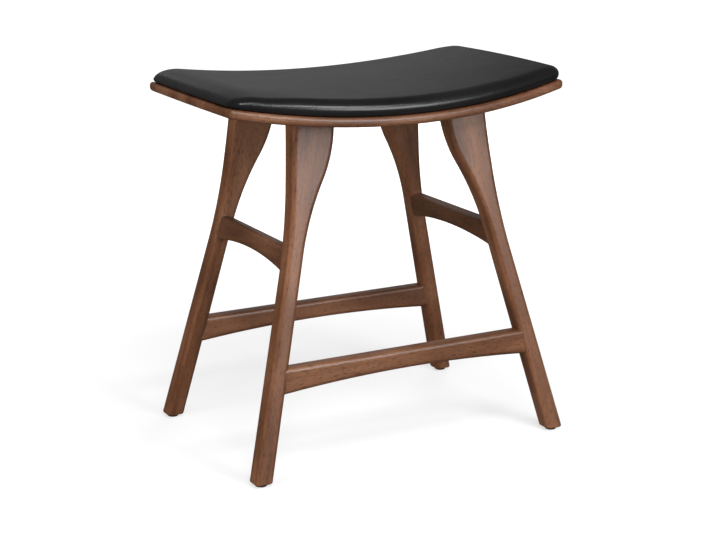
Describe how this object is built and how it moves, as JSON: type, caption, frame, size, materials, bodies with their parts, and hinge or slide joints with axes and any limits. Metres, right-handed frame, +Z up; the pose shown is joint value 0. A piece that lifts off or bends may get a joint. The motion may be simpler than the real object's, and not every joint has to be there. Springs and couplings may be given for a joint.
{
  "type": "saddle stool",
  "caption": "Low wooden stool with a saddle-curved board, an upholstered leather pad, splayed flared legs and arched stretchers.",
  "frame": {"origin": "on the floor under the middle of the seat, at the bottom centre of the stool's bounding box", "axes": "+X along the seat's long side, +Y across the seat towards the back, +Z up; the front side faces -Y"},
  "size_m": [0.477, 0.3244, 0.4906],
  "materials": {
    "stained_wood": "satin reddish brown stain",
    "black_leather": "soft semi-gloss",
    "seat_foam": "open-cell foam, matt",
    "birch_ply": "sanded ply",
    "beech_dowel": "sanded, unfinished",
    "zinc_steel": "zinc plated",
    "staple_wire": "galvanised wire",
    "glide_plastic": "moulded, dark brown"
  },
  "bodies": {
    "root": {"seat_board": "stained_wood", "leg_back_right": "stained_wood", "leg_back_left": "stained_wood", "leg_front_right": "stained_wood", "leg_front_left": "stained_wood", "stretcher_back": "stained_wood", "stretcher_front": "stained_wood", "stretcher_right": "stained_wood", "stretcher_left": "stained_wood", "pad_base": "birch_ply", "pad_foam": "seat_foam", "pad_cover": "black_leather", "pad_staples": "staple_wire", "pad_nuts": "zinc_steel", "pad_screws": "zinc_steel", "pad_screw_washers": "zinc_steel", "dowels_back_right": "beech_dowel", "dowels_back_left": "beech_dowel", "dowels_front_right": "beech_dowel", "dowels_front_left": "beech_dowel", "leg_screws": "zinc_steel", "glide_back_right": "glide_plastic", "glide_back_left": "glide_plastic", "glide_front_right": "glide_plastic", "glide_front_left": "glide_plastic", "glide_nails": "zinc_steel"}
  },
  "joints": []
}
